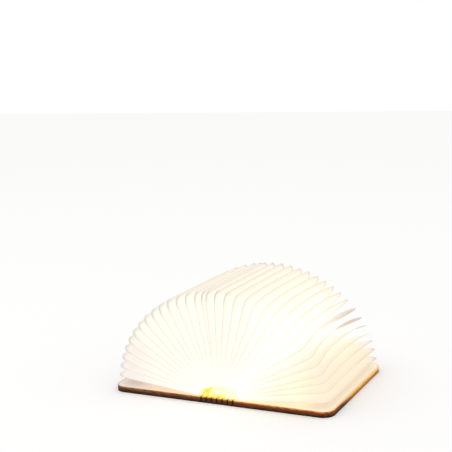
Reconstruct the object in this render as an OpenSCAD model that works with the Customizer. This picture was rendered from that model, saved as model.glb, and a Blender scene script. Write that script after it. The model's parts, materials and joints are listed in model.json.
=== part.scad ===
// Folding book lamp, lying open and lit.
// X runs from the left cover to the right cover, Y along the spine, Z up.
// The origin is in the middle of the spine, on the table under the open boards.
// Both covers and the spine strips are cut from one board, and the pages fan out over them.

/* [Covers] */
// Width of one cover, from its edge of the spine to its fore-edge
board_w = 78.5; // [60:0.5:110]
// Height of the book, along the spine
board_h = 122; // [90:1:160]
// Thickness of the wooden board
board_t = 4.5; // [3.5:0.1:6]
// Radius of the covers' corners at the fore-edge
corner_r = 9; // [3:0.5:14]

/* [Spine] */
// Number of strips that the spine is cut into
strip_count = 6; // [6]
// Width of one strip, between two lines of cuts
strip_w = 4.5; // [4:0.1:6]
// Width of a cut
kerf = 0.5; // [0.2:0.05:0.8]
// Wood left in the middle of each cut that is open at its ends
mid_bridge = 9; // [5:0.5:20]
// Wood left at both ends of each cut that is closed at its ends
end_bridge = 10; // [5:0.5:20]
// Depth of the line that the wood bends about, below the inner face
bend_depth = 1.8; // [1.2:0.1:2.4]
// Angle cut off a strip's inner edges, so that they clear each other when the book is shut
bevel_angle = 17; // [16:0.5:22]
// Play at the spine's middle line, where the strips of the left half meet those of the right
middle_play = 0.02; // [0.01:0.01:0.1]

/* [Pages] */
// Number of pages, an odd number, so that the middle page stands upright
page_count = 33; // [33]
// Thickness of one page, two sheets sealed together
page_t = 0.25; // [0.15:0.05:0.35]
// Bare board above and below the pages
page_margin = 2; // [1:0.5:5]
// Bare board past the pages at the fore-edge, when the book is shut
fore_margin = 1.5; // [1:0.1:6]
// Radius of the pages' corners
page_corner_r = 7.5; // [2:0.5:12]
// Angle between the left cover and the first page
left_angle = 5.5; // [4:0.5:12]
// Angle between the right cover and the last page
right_angle = 4.5; // [4:0.5:12]
// Distance from the spine to the root of the first page
root_setback = 2.5; // [1:0.1:4]
// Height of the first page's root over the board
root_lift = 0.4; // [0.35:0.05:1]
// Height of the arch that the roots of the pages make
arch_rise = 7.4; // [7.4:0.1:9]
// Gap after which pages the fan draws together, counted from the left
bunch_at = 14.8; // [8:0.1:24]
// Share by which the gaps there shrink
bunch_pinch = 0.8; // [0:0.05:0.85]
// Number of gaps that shrink
bunch_count = 1.1; // [0.5:0.1:3]
// Share by which the gaps on both sides of them grow
bunch_swell = 0.3; // [0:0.05:0.6]
// Number of gaps that grow
swell_count = 8; // [4:0.5:12]

/* [End papers] */
// Thickness of the paper glued to each cover
paper_t = 0.15; // [0.1:0.05:0.3]
// Bare board around the end paper
paper_margin = 1.5; // [0.5:0.1:4]

/* [Light tray] */
// Width of the tray outside
tray_w = 10.8; // [10.6:0.1:12]
// Height of the tray outside
tray_h = 5.6; // [5.6:0.1:6]
// Height of the tray's foot over the board
tray_lift = 0.5; // [0.45:0.05:0.8]
// Width of the tray's foot
foot_w = 2.4; // [1.6:0.1:3]
// Width of the tray where its keel ends
keel_w = 6.6; // [6.4:0.1:7]
// Height of the keel over the foot
keel_h = 0.75; // [0.6:0.05:0.9]
// Height over the foot where the sides become upright
side_h = 3; // [2.8:0.1:3.2]
// Thickness of the tray's wall
tray_wall = 0.6; // [0.5:0.05:0.7]
// Thickness of the end walls
end_wall = 0.8; // [0.6:0.1:1.5]
// Gap between the tray's ends and the ends of the pages
tray_inset = 1; // [0.5:0.1:4]
// Thickness of the foam strip under the foot
pad_t = 0.2; // [0.1:0.05:0.25]
// Width of the foam strip
pad_w = 1.2; // [0.8:0.1:1.4]

/* [Diffuser] */
// Rise of the frosted cover from its edge to its crown
crown_rise = 1.15; // [0.8:0.05:1.3]
// Thickness of the frosted cover
diffuser_t = 0.4; // [0.3:0.05:0.5]

/* [Light board] */
// Gap between the light board's edges and the tray's walls
led_board_gap = 0.2; // [0.1:0.05:0.4]
// Thickness of both circuit boards
pcb_t = 0.6; // [0.4:0.1:0.8]
// Height of the light board over the foot
led_board_z = 4.4; // [4.3:0.1:4.6]
// Number of light emitters
led_count = 10; // [4:1:16]
// Width of one emitter, across the board
led_w = 2.8; // [2:0.1:3.5]
// Length of one emitter, along the board
led_l = 3.5; // [2:0.1:4]
// Height of one emitter
led_t = 0.5; // [0.4:0.05:0.55]

/* [Battery] */
// Length of the cell
cell_l = 60; // [30:1:70]
// Width of the cell
cell_w = 5.6; // [4:0.1:5.8]
// Thickness of the cell
cell_t = 2.9; // [2:0.1:3]
// Height of the cell over the tray's foot
cell_z = 1.4; // [1.3:0.05:1.5]
// Radius of the cell's edges
cell_r = 1; // [0.4:0.1:1.2]
// Distance from the charging board to the cell
cell_gap = 4; // [2:0.5:8]
// Diameter of the cell's two leads
lead_d = 0.7; // [0.4:0.1:0.8]
// Length of each lead that lies on the charging board
lead_land = 0.8; // [0.5:0.1:1.5]

/* [Charging board] */
// Length of the charging board
charge_l = 17; // [14:0.5:24]
// Width of the charging board
charge_w = 6; // [5:0.1:6.2]
// Height of the charging board over the tray's foot
charge_z = 1.7; // [1.6:0.05:1.9]
// Width of the charging socket at its top
socket_w = 7.5; // [7:0.1:7.6]
// Width of the charging socket at its bottom
socket_base_w = 5.4; // [5:0.1:5.6]
// Height of the charging socket
socket_h = 2.4; // [2:0.1:2.5]
// Length of the charging socket
socket_l = 5.5; // [4:0.1:7]
// Width of the tongue inside the socket
tongue_w = 3.75; // [3:0.05:4.2]
// Thickness of the tongue
tongue_t = 0.5; // [0.3:0.05:0.7]
// Height of the tongue over the charging board
tongue_z = 1.44; // [1:0.02:1.6]
// Distance from the socket's mouth to the tongue
tongue_inset = 1; // [0.5:0.1:2]
// Thickness of the socket's metal shell
socket_wall = 0.3; // [0.2:0.05:0.4]
// Gap between the socket and its window in the end wall
socket_gap = 0.15; // [0.1:0.05:0.3]
// Diameter of the glass switch that goes out when the book is shut
reed_d = 1.6; // [1.2:0.1:1.8]
// Length of the glass switch
reed_l = 7; // [5:0.5:8]
// Distance from the middle of the charging board to the glass switch
reed_x = 1.5; // [1:0.1:2]
// Width of the control chip
chip_w = 2; // [1.5:0.1:2.5]
// Length of the control chip
chip_l = 3; // [2:0.1:4]
// Thickness of the control chip
chip_t = 0.9; // [0.6:0.05:1.2]
// Distance from the edge of the charging board to the chip
chip_inset = 0.4; // [0.2:0.1:0.8]
// Distance from the chip to the pins
chip_gap = 1.5; // [1:0.1:3]
// Diameter of the pins that join the two boards
pin_d = 0.6; // [0.4:0.05:0.8]
// Distance from one pin to the next
pin_pitch = 1.2; // [1:0.1:1.5]
// Distance from the edge of the charging board to the middle of the outer pin
pin_inset = 0.8; // [0.5:0.1:1]

/* [Magnets] */
// Diameter of the magnets at the fore-edges
catch_d = 6; // [4:0.5:10]
// Thickness of the magnets at the fore-edges
catch_t = 2; // [1:0.1:2.5]
// Distance from the fore-edge to the middle of its magnet
catch_inset = 8; // [6:0.5:20]
// Diameter of the magnet that works the glass switch
trigger_d = 4; // [3:0.5:6]
// Distance from the spine to the middle of that magnet
trigger_inset = 6; // [4:0.5:20]
// Gap between a magnet and its pocket
magnet_gap = 0.1; // [0.05:0.01:0.2]

/* [Hidden] */
strip_names = [for (i = [1:strip_count]) str("spine_strip_", i)];
page_names = [for (i = [1:page_count]) str("page_", i < 10 ? "0" : "", i)];

// Steps in each round corner
corner_steps = 8;
// Half of the spine's width when it lies flat
spine_half = strip_count * strip_w / 2;
// Depth that cuts run past a surface, so that they leave no skin
cut = 1;
// Height of the bending line over the table
bend_z = board_t - bend_depth;
bevel = bend_depth * tan(bevel_angle);

// Pages
page_h = board_h - 2 * page_margin;
page_len = board_w - root_setback - fore_margin;
middle_page = (page_count - 1) / 2;
arch_half = spine_half + root_setback;
arch_z = board_t + root_lift;

// Light tray
foot_z = board_t + tray_lift;
tray_top = foot_z + tray_h;
tray_end = page_h / 2 - tray_inset;
inner_half = tray_w / 2 - tray_wall;
front_y = -tray_end;
charge_y = front_y + end_wall + 0.2;
charge_end = charge_y + charge_l;
charge_top = foot_z + charge_z + pcb_t;
socket_y = front_y - 0.2;
socket_end = socket_y + socket_l;
led_y0 = socket_end + 0.8;
led_y1 = tray_end - end_wall - 0.2;
led_board_bottom = foot_z + led_board_z;
led_board_w = 2 * (inner_half - led_board_gap);
led_z = led_board_bottom + pcb_t;
cell_y0 = charge_end + cell_gap;
// The glass switch and the pins stand clear of the ends of the cell's leads
reed_end = charge_end - lead_land - 0.2;
pins_y = charge_end - 2 * lead_land;
chip_y = pins_y - pin_d / 2 - chip_gap - chip_l;
magnet_z = board_t - catch_t;
// The switch's magnet lies beside it, across the edge of the spine, once the tray is turned
trigger_y = reed_l / 2 - reed_end;

function arc(cx, cy, r, from, to) =
    [for (i = [0:corner_steps])
        let (a = from + (to - from) * i / corner_steps)
        [cx + r * cos(a), cy + r * sin(a)]];

// A leaf of the book: straight along the spine at x = 0, round at both outer corners
module leaf_outline(width, height, r) {
    polygon(concat(
        [[0, -height / 2]],
        arc(width - r, r - height / 2, r, -90, 0),
        arc(width - r, height / 2 - r, r, 0, 90),
        [[0, height / 2]]
    ));
}

// Carries a cross-section, drawn in x and height, along the spine
module along_spine(from, to) {
    translate([0, to, 0])
        rotate([90, 0, 0])
            linear_extrude(to - from)
                children();
}

module on_side(side) {
    mirror([side < 0 ? 1 : 0, 0, 0])
        children();
}

// What is drawn with the charging socket at the front end goes round to the back end
module end_for_end() {
    mirror([0, 1, 0])
        children();
}

// One cover of the board, with the pockets for its magnets in the inner face
module cover(side) {
    on_side(side)
        difference() {
            union() {
                translate([spine_half + kerf / 2, 0, 0])
                    linear_extrude(board_t)
                        leaf_outline(board_w - kerf / 2, board_h, corner_r);
                translate([spine_half, -mid_bridge / 2, 0])
                    cube([kerf, mid_bridge, board_t]);
            }
            along_spine(-board_h / 2 - cut, board_h / 2 + cut)
                polygon([
                    [spine_half - cut, bend_z],
                    [spine_half, bend_z],
                    [spine_half + bevel, board_t],
                    [spine_half + bevel, board_t + cut],
                    [spine_half - cut, board_t + cut]
                ]);
            translate([spine_half + board_w - catch_inset, 0, magnet_z])
                cylinder(h = catch_t + cut, d = catch_d + 2 * magnet_gap, $fn = 48);
            if (side < 0)
                translate([spine_half + trigger_inset, trigger_y, magnet_z])
                    cylinder(h = catch_t + cut, d = trigger_d + 2 * magnet_gap, $fn = 48);
        }
}

module left_cover() {
    color("BurlyWood")
        cover(-1);
}

module right_cover() {
    color("BurlyWood")
        cover(1);
}

module end_paper(side) {
    color("WhiteSmoke")
        on_side(side)
            translate([spine_half + paper_margin, 0, board_t])
                linear_extrude(paper_t)
                    leaf_outline(
                        board_w - 2 * paper_margin,
                        board_h - 2 * paper_margin,
                        corner_r - paper_margin
                    );
}

module left_end_paper() {
    end_paper(-1);
}

module right_end_paper() {
    end_paper(1);
}

// Cross-section of a strip, with its inner edges cut back and given gaps at its two sides
module strip_section(left_gap, right_gap) {
    polygon([
        [left_gap, 0],
        [strip_w - right_gap, 0],
        [strip_w - right_gap, bend_z + right_gap / tan(bevel_angle)],
        [strip_w - bevel, board_t],
        [bevel, board_t],
        [left_gap, bend_z + left_gap / tan(bevel_angle)]
    ]);
}

// One strip of the spine: whole only at its middle and at its two ends
module spine_strip(number) {
    left_play = number == strip_count / 2 + 1 ? middle_play : 0;
    right_play = number == strip_count / 2 ? middle_play : 0;
    color("BurlyWood")
        translate([(number - 1) * strip_w - spine_half, 0, 0])
            difference() {
                union() {
                    along_spine(-board_h / 2, board_h / 2)
                        strip_section(kerf / 2, kerf / 2);
                    along_spine(-mid_bridge / 2, mid_bridge / 2)
                        strip_section(left_play, right_play);
                }
                translate([(strip_w - kerf) / 2, end_bridge - board_h / 2, -cut])
                    cube([kerf, board_h - 2 * end_bridge, board_t + 2 * cut]);
            }
}

// The fan: how wide each gap is next to the others, and the angle that it brings a page to
function gap_weight(j) =
    1 + bunch_swell * exp(-pow((j - bunch_at) / swell_count, 2))
    - bunch_pinch * exp(-pow((j - bunch_at) / bunch_count, 2));
function gap_sum(from, to) = to <= from ? 0 : gap_weight(to) + gap_sum(from, to - 1);
left_share = (90 - left_angle) / gap_sum(0, middle_page);
right_share = (90 - right_angle) / gap_sum(middle_page, page_count - 1);
function page_angle(i) =
    i <= middle_page
        ? 180 - left_angle - left_share * gap_sum(0, i)
        : 90 - right_share * gap_sum(middle_page, i);

// The roots stand at even steps along a half ellipse
function root_turn(i) =
    let (u = 180 * (1 - i / (page_count - 1)))
    u + (arch_half - arch_rise) / (2 * (arch_half + arch_rise)) * sin(2 * u) * 180 / PI;
function root_x(i) = arch_half * cos(root_turn(i));
function root_z(i) = arch_z + arch_rise * sin(root_turn(i));

module page(number) {
    i = number - 1;
    color([1, 0.97, 0.9])
        translate([root_x(i), 0, root_z(i)])
            rotate([0, -page_angle(i), 0])
                translate([0, 0, -page_t / 2])
                    linear_extrude(page_t)
                        leaf_outline(page_len, page_h, page_corner_r);
}

module catch_magnet(side) {
    color("Silver")
        on_side(side)
            translate([spine_half + board_w - catch_inset, 0, magnet_z])
                cylinder(h = catch_t, d = catch_d, $fn = 48);
}

module left_catch_magnet() {
    catch_magnet(-1);
}

module right_catch_magnet() {
    catch_magnet(1);
}

module trigger_magnet() {
    color("Silver")
        translate([-spine_half - trigger_inset, trigger_y, magnet_z])
            cylinder(h = catch_t, d = trigger_d, $fn = 48);
}

// Half of the tray's outer cross-section, from the foot to the rim
function tray_side(inset_w, inset_z) = [
    [foot_w / 2 - inset_w / 3, foot_z + inset_z],
    [keel_w / 2 - inset_w, foot_z + keel_h + inset_z],
    [tray_w / 2 - inset_w, foot_z + side_h + inset_z / 3],
    [tray_w / 2 - inset_w, tray_top]
];
function mirrored(points) = [for (i = [len(points) - 1:-1:0]) [-points[i][0], points[i][1]]];

module tray_outline(inset_w, inset_z) {
    side = tray_side(inset_w, inset_z);
    polygon(concat(side, mirrored(side)));
}

module socket_outline(grow) {
    polygon([
        [-socket_base_w / 2 - grow, charge_top - grow],
        [socket_base_w / 2 + grow, charge_top - grow],
        [socket_w / 2 + grow, charge_top + socket_h / 2],
        [socket_w / 2 + grow, charge_top + socket_h + grow],
        [-socket_w / 2 - grow, charge_top + socket_h + grow],
        [-socket_w / 2 - grow, charge_top + socket_h / 2]
    ]);
}

module light_tray() {
    color("Ivory") {
        difference() {
            along_spine(-tray_end, tray_end)
                tray_outline(0, 0);
            along_spine(end_wall - tray_end, tray_end - end_wall)
                intersection() {
                    tray_outline(tray_wall, tray_wall);
                    translate([-tray_w, 0])
                        square([2 * tray_w, led_board_bottom]);
                }
            along_spine(end_wall - tray_end, tray_end - end_wall)
                translate([-inner_half, led_board_bottom - 0.01])
                    square([2 * inner_half, tray_h]);
            along_spine(-tray_end - cut, end_wall - tray_end + cut)
                socket_outline(socket_gap);
        }
    }
}

module tray_pad() {
    color("DimGray")
        translate([-pad_w / 2, -tray_end, foot_z - pad_t])
            cube([pad_w, 2 * tray_end, pad_t]);
}

// Cross-section of the frosted cover: an arc through the tray's rim and the crown
function crown_radius(half, rise) = (half * half + rise * rise) / (2 * rise);
module crown(half, rise, base) {
    r = crown_radius(half, rise);
    reach = asin(half / r);
    polygon([for (i = [-corner_steps:corner_steps])
        [r * sin(reach * i / corner_steps), base + rise - r + r * cos(reach * i / corner_steps)]]);
}

module diffuser() {
    color("LightYellow")
        along_spine(-tray_end, tray_end)
            difference() {
                crown(tray_w / 2, crown_rise, tray_top);
                crown(inner_half, crown_rise - diffuser_t, tray_top);
                translate([-tray_w, tray_top - tray_w])
                    square([2 * tray_w, tray_w]);
            }
}

module led_board() {
    color("White")
        translate([-led_board_w / 2, led_y0, led_board_bottom])
            cube([led_board_w, led_y1 - led_y0, pcb_t]);
}

module leds() {
    pitch = (led_y1 - led_y0) / led_count;
    color("Gold")
        for (i = [0:led_count - 1])
            translate([-led_w / 2, led_y0 + pitch * (i + 0.5) - led_l / 2, led_z])
                cube([led_w, led_l, led_t]);
}

module battery() {
    color("SlateGray")
        along_spine(cell_y0, cell_y0 + cell_l)
            polygon(concat(
                arc(cell_w / 2 - cell_r, foot_z + cell_z + cell_r, cell_r, -90, 0),
                arc(cell_w / 2 - cell_r, foot_z + cell_z + cell_t - cell_r, cell_r, 0, 90),
                arc(cell_r - cell_w / 2, foot_z + cell_z + cell_t - cell_r, cell_r, 90, 180),
                arc(cell_r - cell_w / 2, foot_z + cell_z + cell_r, cell_r, 180, 270)
            ));
}

// Two leads run straight from the cell's end on to the charging board
module battery_leads() {
    color("Firebrick")
        for (side = [-1, 1])
            translate([side * cell_w / 5, cell_y0, charge_top + lead_d / 2])
                rotate([90, 0, 0])
                    cylinder(h = cell_gap + lead_land, d = lead_d, $fn = 24);
}

module charge_board() {
    color("DarkGreen")
        translate([-charge_w / 2, charge_y, foot_z + charge_z])
            cube([charge_w, charge_l, pcb_t]);
}

module charge_socket() {
    color("Silver")
        along_spine(socket_y, socket_end)
            difference() {
                socket_outline(0);
                socket_outline(-socket_wall);
            }
}

module socket_tongue() {
    color("Black")
        translate([-tongue_w / 2, socket_y + tongue_inset, charge_top + tongue_z])
            cube([tongue_w, socket_l - tongue_inset, tongue_t]);
}

module control_chip() {
    color("DimGray")
        translate([chip_inset - charge_w / 2, chip_y, charge_top])
            cube([chip_w, chip_l, chip_t]);
}

module reed_switch() {
    color("PaleGreen")
        translate([reed_x, reed_end, charge_top + reed_d / 2])
            rotate([90, 0, 0])
                cylinder(h = reed_l, d = reed_d, $fn = 32);
}

// Pins that join the charging board to the light board over it
module board_pins() {
    color("Goldenrod")
        for (i = [0, 1])
            translate([pin_inset - charge_w / 2 + i * pin_pitch, pins_y, charge_top])
                cylinder(h = led_board_bottom - charge_top, d = pin_d, $fn = 24);
}

left_cover();
right_cover();
left_end_paper();
right_end_paper();
for (i = [1:strip_count])
    spine_strip(i);
for (i = [1:page_count])
    page(i);
left_catch_magnet();
right_catch_magnet();
trigger_magnet();
end_for_end() light_tray();
tray_pad();
diffuser();
end_for_end() led_board();
end_for_end() leds();
end_for_end() battery();
end_for_end() battery_leads();
end_for_end() charge_board();
end_for_end() charge_socket();
end_for_end() socket_tongue();
end_for_end() control_chip();
end_for_end() reed_switch();
end_for_end() board_pins();
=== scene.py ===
# %% [markdown]
# # A folding book lamp, lying open and lit
#
# The lamp is a wooden book. Two covers and a slit spine are cut from one thin board, and a
# fan of 33 paper pockets stands up from the spine when the book is laid open. A light tray
# under the roots of the pages makes the whole fan glow.
#
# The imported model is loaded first. It is the frame that everything here is built on: it
# has every solid at its true size, and it says which pieces move together.

import json

import bpy
import numpy as np
from mathutils import Matrix, Vector


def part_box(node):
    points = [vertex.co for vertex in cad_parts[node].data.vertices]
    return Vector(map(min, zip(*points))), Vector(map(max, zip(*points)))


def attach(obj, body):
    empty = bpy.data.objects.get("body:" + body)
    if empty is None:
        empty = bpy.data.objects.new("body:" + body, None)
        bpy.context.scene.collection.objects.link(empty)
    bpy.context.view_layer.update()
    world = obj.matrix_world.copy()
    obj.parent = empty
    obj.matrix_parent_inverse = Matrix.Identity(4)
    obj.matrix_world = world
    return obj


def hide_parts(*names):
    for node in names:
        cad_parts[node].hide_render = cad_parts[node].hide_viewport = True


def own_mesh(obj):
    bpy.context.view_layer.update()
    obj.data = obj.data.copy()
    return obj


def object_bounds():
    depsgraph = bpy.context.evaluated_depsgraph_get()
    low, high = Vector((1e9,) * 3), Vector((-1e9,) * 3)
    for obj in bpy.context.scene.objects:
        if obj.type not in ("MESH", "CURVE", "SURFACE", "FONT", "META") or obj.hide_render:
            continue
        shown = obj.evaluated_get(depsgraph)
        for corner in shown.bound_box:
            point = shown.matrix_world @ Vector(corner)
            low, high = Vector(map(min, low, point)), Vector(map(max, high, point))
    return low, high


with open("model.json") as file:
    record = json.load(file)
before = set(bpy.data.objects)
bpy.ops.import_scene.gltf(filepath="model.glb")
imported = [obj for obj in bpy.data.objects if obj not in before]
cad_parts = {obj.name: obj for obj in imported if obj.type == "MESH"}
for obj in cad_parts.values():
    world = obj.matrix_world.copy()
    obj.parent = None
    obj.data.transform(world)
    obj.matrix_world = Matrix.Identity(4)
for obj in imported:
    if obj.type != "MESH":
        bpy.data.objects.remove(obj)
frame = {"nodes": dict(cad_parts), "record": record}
cad_low, cad_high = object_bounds()
nodes = frame["nodes"]
body_of_node = {
    node: body
    for body, members in frame["record"]["behaviour"]["bodies"].items()
    for node in members
}

# %% [markdown]
# ## Sizes
#
# The sizes that more than one step needs are read from the frame, or stated once here.
# All lengths are in metres. The board's thickness, the spine's half width and the cover's
# reach come from the box of the right cover.

# %% Sizes that the steps share
MM = 0.001
PAGE_COUNT = 33
MIDDLE_PAGE = (PAGE_COUNT + 1) // 2

cover_low, cover_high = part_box("right_cover")
BOARD_T = cover_high.z
BOARD_REACH = cover_high.x
BOARD_HALF_H = cover_high.y
SPINE_HALF = cover_low.x
PAGE_HALF_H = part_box(f"page_{MIDDLE_PAGE:02d}")[1].y
print("board", round(BOARD_T / MM, 2), "mm thick, spine half", round(SPINE_HALF / MM, 2), "mm")

# %% [markdown]
# ## Camera
#
# The camera stands where a fit to the outlines of the open lamp in the photograph puts
# it: low, in front of the open book and to its right, with a long lens. It is made first.

# %% Camera
CAMERA_PLACE = Vector((0.3404, -0.7234, 0.2694))
CAMERA_RIGHT = Vector((0.8992, 0.4357, -0.0387))
CAMERA_UP = Vector((-0.0418, 0.1736, 0.9839))
PHOTO_SIDE = 452
FOCAL_PIXELS = 1024.61
SENSOR = 36.0
NEAR_CLIP = 0.01
FAR_CLIP = 20.0


def photo_camera():
    """A camera whose rows of rotation are the right, up and backward directions.

    The lens in millimetres is the focal length in pixels times the sensor's width over
    the picture's width in pixels.
    """
    data = bpy.data.cameras.new("photo_camera")
    data.sensor_width = SENSOR
    data.lens = FOCAL_PIXELS * SENSOR / PHOTO_SIDE
    data.clip_start = NEAR_CLIP
    data.clip_end = FAR_CLIP
    camera = bpy.data.objects.new("photo_camera", data)
    right = CAMERA_RIGHT.normalized()
    up = (CAMERA_UP - right * CAMERA_UP.dot(right)).normalized()
    back = right.cross(up)
    turn = Matrix((right, up, back)).transposed().to_4x4()
    camera.matrix_world = Matrix.Translation(CAMERA_PLACE) @ turn
    bpy.context.scene.collection.objects.link(camera)
    bpy.context.scene.camera = camera
    return camera


print("lens", round(photo_camera().data.lens, 2), "mm")

# %% [markdown]
# ## Helpers for meshes
#
# Every new surface here is a function of two parameters, worked out for a whole grid of
# points at once. These helpers turn such arrays into a mesh, so that no step loops over
# its points.

# %% Helpers for meshes
def grid_quads(rows, columns, first=0, flip=False):
    """Corners of the cells of a grid of rows x columns points, numbered row by row."""
    index = first + np.arange(rows * columns).reshape(rows, columns)
    quads = np.stack([index[:-1, :-1], index[1:, :-1], index[1:, 1:], index[:-1, 1:]], -1)
    quads = quads.reshape(-1, 4)
    return quads[:, ::-1] if flip else quads


def strip_quads(loop_a, loop_b, flip=False):
    """Cells between two closed loops of point numbers that run side by side."""
    next_a = np.roll(loop_a, -1)
    next_b = np.roll(loop_b, -1)
    quads = np.stack([loop_a, next_a, next_b, loop_b], -1)
    return quads[:, ::-1] if flip else quads


def rim_loop(rows, columns, first=0):
    """Point numbers round the outside of a grid, once round."""
    index = first + np.arange(rows * columns).reshape(rows, columns)
    return np.concatenate([index[0, :-1], index[:-1, -1], index[-1, :0:-1], index[:0:-1, 0]])


def mesh_piece(name, points, quads, material, attributes=None, smooth=True):
    """A mesh object from arrays of points and of cells, with one value per point for
    each named attribute."""
    mesh = bpy.data.meshes.new(name)
    mesh.from_pydata(points.reshape(-1, 3).tolist(), [], quads.tolist())
    mesh.update()
    for key, values in (attributes or {}).items():
        layer = mesh.attributes.new(key, "FLOAT", "POINT")
        layer.data.foreach_set("value", np.asarray(values, np.float32).ravel())
    mesh.polygons.foreach_set("use_smooth", np.full(len(mesh.polygons), smooth))
    piece = bpy.data.objects.new(name, mesh)
    piece.data.materials.append(material)
    bpy.context.scene.collection.objects.link(piece)
    return piece


def smooth_step(value, low, high):
    """0 below low, 1 above high, and 3t^2 - 2t^3 between them."""
    t = np.clip((value - low) / (high - low), 0, 1)
    return t * t * (3 - 2 * t)


print("a grid of 4 x 5 points has", len(grid_quads(4, 5)), "cells")

# %% [markdown]
# ## Helpers for materials
#
# A material is a small graph of nodes. This class keeps the graphs short to write: each
# call adds one node, sets its plain values and links the others. Every pattern reads
# Object coordinates, so it stays on its piece when the book folds.

# %% Helpers for materials
class Finish:
    """One material and the nodes that are added to it."""

    def __init__(self, name):
        self.material = bpy.data.materials.new(name)
        self.material.use_nodes = True
        self.tree = self.material.node_tree
        self.surface = self.tree.nodes["Principled BSDF"]
        self.place = self.tree.nodes.new("ShaderNodeTexCoord")

    def put(self, socket, value):
        """Links an output socket to an input, or sets the input to a plain value."""
        if isinstance(value, bpy.types.NodeSocket):
            self.tree.links.new(value, socket)
        elif hasattr(value, "__len__") and len(value) == 3 and socket.type == "RGBA":
            socket.default_value = (*value, 1)
        else:
            socket.default_value = value

    def set(self, **values):
        """Sets sockets of the surface, with underscores for spaces."""
        for key, value in values.items():
            self.put(self.surface.inputs[key.replace("_", " ")], value)

    def math(self, operation, *values):
        """The result of one operation on sockets and numbers."""
        node = self.tree.nodes.new("ShaderNodeMath")
        node.operation = operation
        for socket, value in zip(node.inputs, values):
            self.put(socket, value)
        return node.outputs[0]

    def times(self, first, *others):
        """The product of sockets and numbers."""
        for other in others:
            first = self.math("MULTIPLY", first, other)
        return first

    def plus(self, first, second):
        """The sum of two sockets or numbers."""
        return self.math("ADD", first, second)

    def minus(self, first, second):
        """The first socket or number less the second."""
        return self.math("SUBTRACT", first, second)

    def ramp_between(self, value, low, high):
        """0 where value is at low, 1 where it is at high, and smooth between them."""
        node = self.tree.nodes.new("ShaderNodeMapRange")
        node.interpolation_type = "SMOOTHSTEP"
        for key, number in (("Value", value), ("From Min", low), ("From Max", high)):
            self.put(node.inputs[key], number)
        return node.outputs[0]

    def mix(self, factor, first, second, blend="MIX"):
        """A colour between two colours."""
        node = self.tree.nodes.new("ShaderNodeMix")
        node.data_type = "RGBA"
        node.blend_type = blend
        self.put(node.inputs[0], factor)
        self.put(node.inputs[6], first)
        self.put(node.inputs[7], second)
        return node.outputs[2]

    def axes(self, source="Object"):
        """The three parts of a coordinate, as x, y and z sockets."""
        node = self.tree.nodes.new("ShaderNodeSeparateXYZ")
        self.put(node.inputs[0], self.place.outputs[source])
        return node.outputs

    def noise(self, scale, stretch=(1, 1, 1), turn=(0, 0, 0), detail=4, roughness=0.5):
        """Noise with so many blots a metre, pulled out along axes that may be turned."""
        mapping = self.tree.nodes.new("ShaderNodeMapping")
        mapping.vector_type = "TEXTURE"
        mapping.inputs["Rotation"].default_value = turn
        mapping.inputs["Scale"].default_value = tuple(1 / share for share in stretch)
        self.put(mapping.inputs["Vector"], self.place.outputs["Object"])
        node = self.tree.nodes.new("ShaderNodeTexNoise")
        node.inputs["Scale"].default_value = scale
        node.inputs["Detail"].default_value = detail
        node.inputs["Roughness"].default_value = roughness
        self.put(node.inputs["Vector"], mapping.outputs[0])
        return node.outputs["Fac"]

    def value_of(self, attribute):
        """The value of a mesh attribute at each point."""
        node = self.tree.nodes.new("ShaderNodeAttribute")
        node.attribute_name = attribute
        return node.outputs["Fac"]

    def colours(self, value, stops):
        """A colour picked from (position, colour) stops by a value."""
        node = self.tree.nodes.new("ShaderNodeValToRGB")
        ramp = node.color_ramp
        while len(ramp.elements) < len(stops):
            ramp.elements.new(0.5)
        for element, (position, colour) in zip(ramp.elements, stops):
            element.position = position
            element.color = (*colour, 1)
        self.put(node.inputs[0], value)
        return node.outputs[0]

    def bumps(self, height, strength, depth):
        """Bumps on the surface, of a height field and a depth in metres."""
        node = self.tree.nodes.new("ShaderNodeBump")
        node.inputs["Strength"].default_value = strength
        node.inputs["Distance"].default_value = depth
        self.put(node.inputs["Height"], height)
        self.put(self.surface.inputs["Normal"], node.outputs[0])


def srgb(red, green, blue):
    """The linear colour of a colour given as 0 to 255, as it looks on a screen."""
    c = np.array([red, green, blue]) / 255
    return tuple(float(x) for x in np.where(c <= 0.04045, c / 12.92, ((c + 0.055) / 1.055) ** 2.4))


def dimmed(colour, share):
    """A colour with only a share of its brightness."""
    return tuple(share * part for part in colour)


print("mid grey on a screen is", round(srgb(128, 128, 128)[0], 3), "in linear light")

# %% [markdown]
# ## Wood
#
# The covers and the spine are one board with a pale veneer on both faces. The laser that
# cuts it burns every edge dark brown, and leaves a thin scorched line where an edge meets
# a face. A picture of veneer could be laid on the faces, but each face would need a map of
# its own. Noise that is pulled out along the spine fills space itself, so the grain runs
# on from one solid to the next.
#
# One material does both: where the surface looks up or down it is veneer, and elsewhere it
# is burnt. The scorched line follows the distance from the board's outline, worked out as
# for a rectangle with round corners. It is golden where the lamp shines over the fore-edge
# of the right cover.

# %% Veneer
BOARD_CORNER = 9 * MM
VENEER_PALE = srgb(253, 234, 197)
VENEER_DARK = srgb(243, 212, 166)
PORE_RANGE = (0.42, 0.75)
PORE_SHARE = 0.45
FIGURE_RANGE = (0.3, 0.7)
FIGURE_SHARE = 0.5
SCORCH = srgb(150, 96, 52)
SCORCH_RANGE = (0.9 * MM, 0.1 * MM)
SCORCH_SHARE = 0.8
GOLDEN_RIM = srgb(246, 206, 120)
GOLDEN_RIM_X = (60 * MM, 88 * MM)
GOLDEN_RIM_Z = (3 * MM, 4 * MM)


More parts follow.
